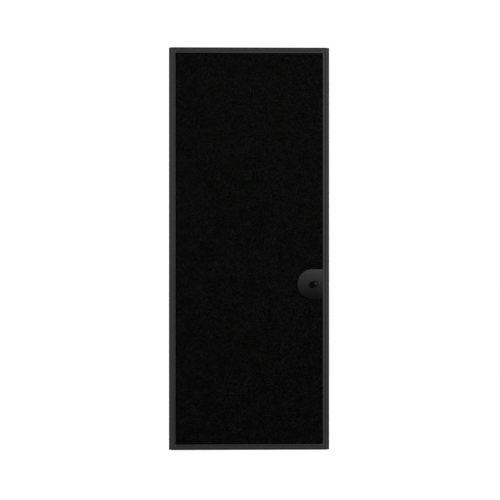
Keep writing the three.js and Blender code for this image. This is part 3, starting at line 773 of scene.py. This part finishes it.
def sheet(name, side, step, depth, holes):
    """Closed slab on a grid, facing -y or +y by side; holes are (x, z, radius)."""
    low, high = SHEET_FOOT, HEIGHT - SHEET_FOOT
    columns, rows = round(2 * SHEET_HALF / step), round((high - low) / step)
    grid_x = [-SHEET_HALF + 2 * SHEET_HALF * i / columns for i in range(columns + 1)]
    grid_z = [low + (high - low) * j / rows for j in range(rows + 1)]
    vertices, index = [], {}

    def vertex(i, j, back):
        key = (i, j, back)
        if key not in index:
            index[key] = len(vertices)
            x, z = grid_x[i], grid_z[j]
            y = side * SHEET_BACK if back else side * SHEET_FACE - side * depth(x, z)
            vertices.append((x, y, z))
        return index[key]

    kept = set()
    for i in range(columns):
        for j in range(rows):
            x, z = (grid_x[i] + grid_x[i + 1]) / 2, (grid_z[j] + grid_z[j + 1]) / 2
            if not any((x - hole_x) ** 2 + (z - hole_z) ** 2 < radius * radius
                       for hole_x, hole_z, radius in holes):
                kept.add((i, j))
    faces = []
    for i, j in kept:
        faces.append((vertex(i, j, 0), vertex(i + 1, j, 0), vertex(i + 1, j + 1, 0), vertex(i, j + 1, 0)))
    # a plain back, and walls round the rim and the holes
    for i, j in kept:
        faces.append((vertex(i, j, 1), vertex(i, j + 1, 1), vertex(i + 1, j + 1, 1), vertex(i + 1, j, 1)))
        for across, up, start, stop in ((-1, 0, (i, j), (i, j + 1)), (1, 0, (i + 1, j), (i + 1, j + 1)),
                                        (0, -1, (i, j), (i + 1, j)), (0, 1, (i, j + 1), (i + 1, j + 1))):
            if (i + across, j + up) not in kept:
                faces.append((vertex(*start, 0), vertex(*stop, 0), vertex(*stop, 1), vertex(*start, 1)))
    return solid(name, vertices, faces)


def plate_holes(knob_radius, bolt_radius):
    return [(KNOB_X, KNOB_Z, knob_radius)] + [(BOLT_X, z, bolt_radius) for z in BOLT_HEIGHTS]


FELT = relief(7.0, least=0.02, mean=0.42, waves=[
    (0.012, (0, 0, 0), 0.16),                           # slow waviness of the sheet
    (0.11, (3, 1, 2), 0.12),
    (0.33, (9, 4, 5), 0.26),                            # matted tufts
    (0.9, (0, 0, 0), 0.14)])
PEBBLE = relief(3.0, least=0.0, mean=0.12, waves=[(0.25, (0, 0, 0), 0.10), (0.02, (0, 0, 0), 0.05)])
dress(sheet("carpet_sheet", -1, 3.2, FELT, plate_holes(7.5, 6.0)),
      CARPET, "door_leaf", "carpet_face", sharp=60)
dress(sheet("outer_sheet", 1, 5.0, PEBBLE, plate_holes(10.0, 4.5)),
      OUTER_SHEET, "door_leaf", "outer_skin", sharp=60)


# ------------------------------------------------------------------ D-shaped plates
def plate(name, side):
    """Domed plate, round towards the middle of the door and square at the stile."""
    radius, length, end_x = 57.85, 97.9, HALF_WIDTH - 24.5
    centre_x = end_x - length + radius
    back, edge, rise, rounding = 12.1, 2.5, 5.5, 1.8    # back is a y, rounding the rim's radius
    dome = (radius * radius + rise * rise) / (2 * rise)
    rows, columns = 92, 72

    def height(x, up):
        crown = back + edge + math.sqrt(max(0.0, dome * dome - up * up)) - (dome - rise)
        inside = max(0.0, radius - (math.hypot(x - centre_x, up) if x < centre_x else abs(up)))
        drop = 0.0
        if inside < rounding:
            drop = rounding - math.sqrt(max(0.0, rounding * rounding - (rounding - inside) ** 2))
        share = min(1.0, (edge - 0.2) / rounding + (crown - back - edge) / rounding)
        return max(back + 0.25, crown - drop * share)

    vertices, grid = [], []
    for j in range(rows + 1):
        up = radius * math.sin(math.pi / 2 * (2 * j / rows - 1))
        start_x = centre_x - math.sqrt(max(0.0, radius * radius - up * up))
        grid.append(list(range(len(vertices), len(vertices) + columns + 1)))
        for i in range(columns + 1):
            x = start_x + (end_x - start_x) * (1 - math.cos(math.pi / 2 * i / columns))
            vertices.append((x, side * height(x, up), PLATE_Z + up))
    faces = [(grid[j][i], grid[j][i + 1], grid[j + 1][i + 1], grid[j + 1][i])
             for j in range(rows) for i in range(columns)]
    rim = (grid[0] + [line[-1] for line in grid[1:]] + grid[-1][-2::-1]
           + [line[0] for line in grid[-2:0:-1]])
    base = len(vertices)
    vertices += [(vertices[k][0], side * back, vertices[k][2]) for k in rim]
    for k in range(len(rim)):
        j = (k + 1) % len(rim)
        faces.append((rim[k], rim[j], base + j, base + k))
    faces.append(tuple(range(base, len(vertices))))
    part = solid(name, vertices, faces)

    cuts = [rod(5.35, -40, 40, KNOB_X, KNOB_Z, 64)]
    if side < 0:                                        # bosses that take the bolts
        boolean(part, [rod(4.2, -14, -1, BOLT_X, z, 32) for z in BOLT_HEIGHTS], "UNION")
        cuts += [rod(2.2, -15, 0, BOLT_X, z, 24) for z in BOLT_HEIGHTS]
    else:                                               # bolt holes, and seats for the heads
        cuts += [rod(2.3, 10, 30, BOLT_X, z, 24) for z in BOLT_HEIGHTS]
        cuts += [rod(4.4, 14.4, 30, BOLT_X, z, 40) for z in BOLT_HEIGHTS]
    boolean(part, cuts)
    return part


for side, face in ((-1, "inner"), (1, "outer")):
    dress(plate(f"{face}_plate", side), PLATE_PLASTIC, "door_leaf",
          f"{face}_escutcheon", sharp=50)


# ------------------------------------------------------------------ knobs
def ball_knob(name, side):
    """Ball on a waisted neck, with a square bore for the spindle."""
    shoulder, neck, ball = 20.1, 12.5, 12.5             # y of the shoulder, length, radius
    neck_foot, neck_steps, ball_steps = shoulder - 0.6, 16, 40
    centre = shoulder + neck + ball
    profile = [(0, 8.4), (4.7, 8.4), (5.0, 8.7), (5.0, neck_foot)]
    for k in range(1, neck_steps + 1):
        part = k / neck_steps
        profile.append((5.0 - 0.45 * part - 0.55 * math.sin(math.pi * part) ** 2,
                        neck_foot + (neck + 1.0) * part))
    start = math.asin(4.6 / ball) + 0.05
    for k in range(ball_steps + 1):
        angle = start + (math.pi - start) * k / ball_steps
        profile.append((0 if k == ball_steps else ball * math.sin(angle), centre - ball * math.cos(angle)))
    knob = lathe(name, [(radius, side * y) for radius, y in profile], 72, "y", (KNOB_X, 0, KNOB_Z))
    bore = 2.4
    boolean(knob, [block((KNOB_X - bore, KNOB_X + bore), (side * 5, side * 37),
                         (KNOB_Z - bore, KNOB_Z + bore))])
    return knob


for side, face in ((-1, "inner"), (1, "outer")):
    dress(ball_knob(f"ball_knob_{face}", side), KNOB_GLOSS, "knob", f"{face}_knob", sharp=50)


# ------------------------------------------------------------------ screws
def cut_cross(screw, depth, length, width):
    """Cross recess in a head whose top is at z = 0."""
    tools = []
    for crosswise in (False, True):
        vertices = []
        for z, long_scale, wide_scale in ((0.5, 1.08, 1.0), (-depth, 0.45, 0.8)):
            for long_side, wide_side in ((-1, -1), (1, -1), (1, 1), (-1, 1)):
                x, y = long_side * length / 2 * long_scale, wide_side * width / 2 * wide_scale
                vertices.append((y, x, z) if crosswise else (x, y, z))
        tools.append(solid("tool", vertices, [(0, 1, 2, 3), (4, 7, 6, 5), (0, 4, 5, 1),
                                              (1, 5, 6, 2), (2, 6, 7, 3), (3, 7, 4, 0)]))
    boolean(screw, tools)
    return screw


def flat_screw(length):
    profile = [(0, 0), (2.45, 0), (2.68, -0.05), (2.7, -0.12), (1.35, -1.42)]
    z = -1.7
    while z > -length + 1.0:                            # thread, as rings
        profile += [(1.05, z), (1.4, z - 0.25), (1.05, z - 0.5)]
        z -= 0.5
    profile += [(0.9, -length + 0.5), (0, -length)]
    return cut_cross(lathe("flat_screw", profile, 32), depth=1.0, length=3.0, width=0.8)


def pan_screw():
    profile = [(0, 0), (1.4, -0.06), (2.6, -0.4), (3.5, -1.0), (3.95, -1.8), (4.0, -2.5),
               (2.0, -2.55), (2.0, -29.4), (1.6, -30.0), (0, -30.0)]
    return cut_cross(lathe("pan_screw", profile, 40), depth=1.5, length=4.2, width=1.1)


def set_screw(pattern, name, head, facing, body, replaced):
    """A copy of pattern with its head's top at the point head; each is spun by its place."""
    screw = add_object(name, pattern.data.copy())
    turn = Vector((0, 0, 1)).rotation_difference(Vector(facing)).to_matrix().to_4x4()
    spin = Matrix.Rotation((head[2] * 0.37 + head[0]) % 1.5, 4, "Z")
    screw.data.transform(Matrix.Translation(Vector(head) * MM) @ turn @ spin)
    dress(screw, SCREW_STEEL, body, replaced, sharp=35)


short_screw, leaf_screw, long_screw, bolt = flat_screw(5.0), flat_screw(3.05), flat_screw(6.2), pan_screw()
LEVELS = ("lower", "upper")
for where, middle in HINGE_HEIGHTS:
    for name, z in zip(LEVELS, (middle - HINGE_SCREW_OFFSET, middle + HINGE_SCREW_OFFSET)):
        set_screw(short_screw, f"jamb_screw_{where}_{name}", (-HALF_WIDTH + 8.05, HINGE_SCREW_Y, z),
                  (1, 0, 0), "jamb", f"hinge_jamb_screw_{where}_{name}")
        set_screw(leaf_screw, f"leaf_screw_{where}_{name}", (-HALF_WIDTH + 8.45, HINGE_SCREW_Y, z),
                  (-1, 0, 0), "door_leaf", f"hinge_door_screw_{where}_{name}")
for name, z in zip(LEVELS, LATCH_SCREW_HEIGHTS):
    set_screw(short_screw, f"strike_fixing_{name}", (HALF_WIDTH - 8.05, 0, z),
              (-1, 0, 0), "jamb", f"strike_screw_{name}")
    set_screw(long_screw, f"faceplate_fixing_{name}", (HALF_WIDTH - 9.75, 0, z),
              (1, 0, 0), "door_leaf", f"faceplate_screw_{name}")
for name, z in zip(LEVELS, BOLT_HEIGHTS):
    set_screw(bolt, f"through_bolt_{name}", (BOLT_X, 17.0, z),
              (0, 1, 0), "door_leaf", f"escutcheon_bolt_{name}")
discard((short_screw, leaf_screw, long_screw, bolt))


# ------------------------------------------------------------------ hinges
PIVOT_X, PIVOT_Y = -HALF_WIDTH + 8.25, 19.0
HINGE_HALF = 38                                         # half height of a hinge
KNUCKLES = 5
KNUCKLE_PITCH = 2 * HINGE_HALF / KNUCKLES
KNUCKLE_GAP = 0.15                                      # taken off each knuckle where it meets another
SCREW_HOLE_FACE, SCREW_HOLE_BACK = 2.9, 1.95            # countersunk radii


def knuckle_spans(odd):
    last = KNUCKLES - 1
    return [(-HINGE_HALF + i * KNUCKLE_PITCH + (KNUCKLE_GAP if i else 0),
             -HINGE_HALF + (i + 1) * KNUCKLE_PITCH - (KNUCKLE_GAP if i < last else 0))
            for i in range(odd, KNUCKLES, 2)]


def knuckle(low, high, inner=2.2, outer=4.4, edge=0.25, chamfer=0.12, steps=56):
    """Bored cylinder round the pivot, with broken edges."""
    profile = [                                         # radius, z
        (inner, low + chamfer), (inner + chamfer, low), (outer - edge, low),
        (outer - 0.3 * edge, low + 0.3 * edge), (outer, low + edge),
        (outer, high - edge), (outer - 0.3 * edge, high - 0.3 * edge),
        (outer - edge, high), (inner + chamfer, high), (inner, high - chamfer)]
    vertices = [(PIVOT_X + x, PIVOT_Y + y, z) for radius, z in profile for x, y in circle(radius, steps)]
    return solid("knuckle", vertices, wall(0, steps, len(profile), closed=True))


def hinge_leaf(name, face, back, spans):
    """Plate whose tabs run into its own knuckles and stay clear of the other leaf's."""
    reach, clear = PIVOT_Y - 3.3, PIVOT_Y - 4.95
    corners = [(-8, -HINGE_HALF, 5.0), (-8, HINGE_HALF, 5.0)]
    z = HINGE_HALF
    for low, high in reversed(spans):
        if high < z:
            corners += [(clear, z, 0.4 if z == HINGE_HALF else 0.2), (clear, high, 0.2)]
        corners += [(reach, high, 0.2), (reach, low, 0.2)]
        z = low
    if z > -HINGE_HALF:
        corners += [(clear, z, 0.2), (clear, -HINGE_HALF, 0.4)]
    holes = [(HINGE_SCREW_Y, z, SCREW_HOLE_FACE, SCREW_HOLE_BACK)
             for z in (-HINGE_SCREW_OFFSET, HINGE_SCREW_OFFSET)]
    return merge(name, [stamped(name, corners, face, back, holes)] + [knuckle(*span) for span in spans])


# (radius, z)
PIN = [(0, -41), (1.2, -41), (1.8, -40.6), (2.05, -40), (2.05, 38.3), (3.3, 38.3), (3.5, 38.5),
       (3.5, 39.4), (3.3, 39.9), (2.7, 40.4), (1.6, 40.75), (0, 40.9)]
fixed = hinge_leaf("fixed", PIVOT_X - 0.15, PIVOT_X - 1.15, knuckle_spans(odd=False))
moving = hinge_leaf("moving", PIVOT_X + 0.15, PIVOT_X + 1.15, knuckle_spans(odd=True))
pin = lathe("pin", PIN, centre=(PIVOT_X, PIVOT_Y, 0))
for where, z in HINGE_HEIGHTS:
    for pattern, label, body, replaced, material in (
            (fixed, "butt_fixed", "jamb", "hinge_fixed_leaf", HINGE_COAT),
            (moving, "butt_moving", "door_leaf", "hinge_door_leaf", HINGE_COAT),
            (pin, "butt_pin", "jamb", "hinge_pin", ZINC_STEEL)):
        part = add_object(f"{label}_{where}", pattern.data.copy())
        part.data.transform(Matrix.Translation((0, 0, z * MM)))
        dress(part, material, body, f"{replaced}_{where}", sharp=50,
              flats=pattern is not pin)
discard((fixed, moving, pin))


# ------------------------------------------------------------------ strike, faceplate, latch parts
def flat_bar(name, replaced, material, body, faces, half, heights, radius, slot):
    """Upright plate with two screw holes and a slot; faces are the x of its face and back."""
    low, high = heights
    corners = [(-half, low, radius), (half, low, radius), (half, high, radius), (-half, high, radius)]
    holes = [(0, z, SCREW_HOLE_FACE, SCREW_HOLE_BACK) for z in LATCH_SCREW_HEIGHTS]
    dress(stamped(name, corners, *faces, holes, [slot]),
          material, body, replaced, sharp=50, flats=True)


flat_bar("strike", "strike_plate", ZINC_STEEL, "jamb", faces=(HALF_WIDTH - 8.1, HALF_WIDTH - 7.1),
         half=10, heights=(610, 664), radius=4.0, slot=(-5.2, 5.2, 637.5, 648.8, 0.6))
flat_bar("faceplate", "latch_faceplate", LATCH_STEEL if False else ZINC_STEEL, "door_leaf",
         faces=(HALF_WIDTH - 9.7, HALF_WIDTH - 11.4),
         half=10.6, heights=(611, 662), radius=3.0, slot=(-4.8, 4.8, 637.8, 648.45, 0.5))


def finished(name, source, material, body, bevel):
    """The CAD part's own shape, welded, with its edges broken."""
    part = add_object(name, CAD_NODES[source].data.copy())
    part.data.transform(CAD_NODES[source].matrix_world)

    def simplify(edit):
        bmesh.ops.remove_doubles(edit, verts=edit.verts, dist=2e-6)
        bmesh.ops.dissolve_limit(edit, angle_limit=math.radians(1), verts=edit.verts, edges=edit.edges)

    edit_mesh(part.data, simplify)
    soften(part, bevel, angle=40)
    dress(part, material, body, source, sharp=50, flats=True)


finished("core_board", "core_panel", PLYWOOD, "door_leaf", bevel=0.3)
finished("latch_housing", "latch_case", LATCH_STEEL, "door_leaf", bevel=0.2)
finished("bolt_bar", "rack_bolt", LATCH_STEEL, "bolt", bevel=0.2)
finished("pinion_gear", "pinion", LATCH_STEEL, "knob", bevel=0.06)
finished("spindle_bar", "spindle", LATCH_STEEL, "knob", bevel=0.2)


# ------------------------------------------------------------------ stage, in metres
scene = bpy.context.scene
scene.view_settings.view_transform = "Standard"
scene.view_settings.look = "None"
scene.view_settings.exposure = 0
scene.view_settings.gamma = 1


def floor_material():
    """White to the camera; other rays meet a grey floor with a dark card in front of the door.

    The card keeps the lower half of the glossy plate dark.
    """
    material = bpy.data.materials.new("floor_pale")
    material.use_nodes = True
    shader = Shader(material.node_tree)
    shader.tree.nodes.clear()
    pale = shader.add("BsdfDiffuse", Color=0.06)
    glow = shader.add("Emission", Color=1.0, Strength=0.985)
    seen = shader.add("AddShader")
    shader.feed(seen.inputs[0], pale.outputs[0])
    shader.feed(seen.inputs[1], glow.outputs[0])
    place = shader.split(shader.add("NewGeometry").outputs["Position"])
    card_x, card_half = 0.25, 0.45
    aside = shader.math("SUBTRACT", shader.distance(place["X"], card_x), card_half)
    aside = shader.times(aside, gain=3.0, clamp=True)
    behind = shader.times(shader.math("ADD", place["Y"], 0.1), gain=4.0, clamp=True)
    card = shader.ramp(shader.math("MAXIMUM", aside, behind), [(0.0, 0.03), (1.0, 0.34)])
    unseen = shader.add("BsdfDiffuse", Color=card)
    shader.by_ray("OutputMaterial", unseen.outputs[0], seen.outputs[0])
    return material


def add_floor(half=30, z=-0.0004):
    mesh = bpy.data.meshes.new("floor")
    mesh.from_pydata([(-half, -half, z), (half, -half, z), (half, half, z), (-half, half, z)],
                     [], [(0, 1, 2, 3)])
    floor = add_object("floor", mesh)
    mesh.materials.append(floor_material())


def add_world():
    """White to the camera; as light, a grey sky brighter above and on the outside of the door."""
    world = bpy.data.worlds.new("studio")
    scene.world = world
    world.use_nodes = True
    shader = Shader(world.node_tree)
    shader.tree.nodes.clear()
    direction = shader.split(shader.add("TexCoord").outputs["Generated"])
    sky = shader.ramp(shader.map_range(direction["Z"], -1, 1), [
        (0.0, 0.03), (0.40, 0.03), (0.5, 0.07), (0.62, 0.11), (0.85, 0.22), (1.0, 0.30)])
    outside = shader.map_range(direction["Y"], -0.55, 0.05)
    soft = shader.add("Background", Color=shader.mix(outside, sky, 0.52), Strength=0.85)
    white = shader.add("Background", Color=1.0, Strength=1.02)
    shader.by_ray("OutputWorld", soft.outputs[0], white.outputs[0])


def place_aimed(placed, place, target):
    placed.location = place
    placed.rotation_mode = "QUATERNION"
    placed.rotation_quaternion = (Vector(target) - Vector(place)).to_track_quat("-Z", "Y")


def area_light(name, place, target, size, energy, height=None):
    """Square light, or a rectangle when a height is given."""
    light = bpy.data.lights.new(name, "AREA")
    light.shape = "RECTANGLE" if height else "SQUARE"
    light.size = size
    if height:
        light.size_y = height
    light.energy = energy
    place_aimed(add_object(name, light), place, target)


def add_camera():
    distance, yaw = 8.0, math.radians(-1.95)
    view_width = 1.9073                                 # seen at that distance
    aim = Vector((0.0038, 0.0, 0.7610))
    camera = bpy.data.cameras.new("camera")
    camera.sensor_width = 36
    camera.lens = 36 * distance / view_width
    camera.clip_end = 200
    scene.camera = add_object("camera", camera)
    place_aimed(scene.camera, aim + Vector((math.sin(yaw), -math.cos(yaw), 0)) * distance, aim)


add_floor()
add_world()
area_light("key", place=(3.10, -6.8, 1.98), target=(0.15, 0, 0.70), size=0.38, energy=425)
area_light("softbox", place=(0.42, -2.60, 2.20), target=(0.25, 0, 0.63), size=1.5, energy=11, height=1.3)
area_light("back_key", place=(-2.4, 3.6, 2.6), target=(0, 0, 0.75), size=1.2, energy=130)
area_light("back_fill", place=(2.6, 3.2, 1.8), target=(0, 0, 0.75), size=2.0, energy=50)
add_camera()
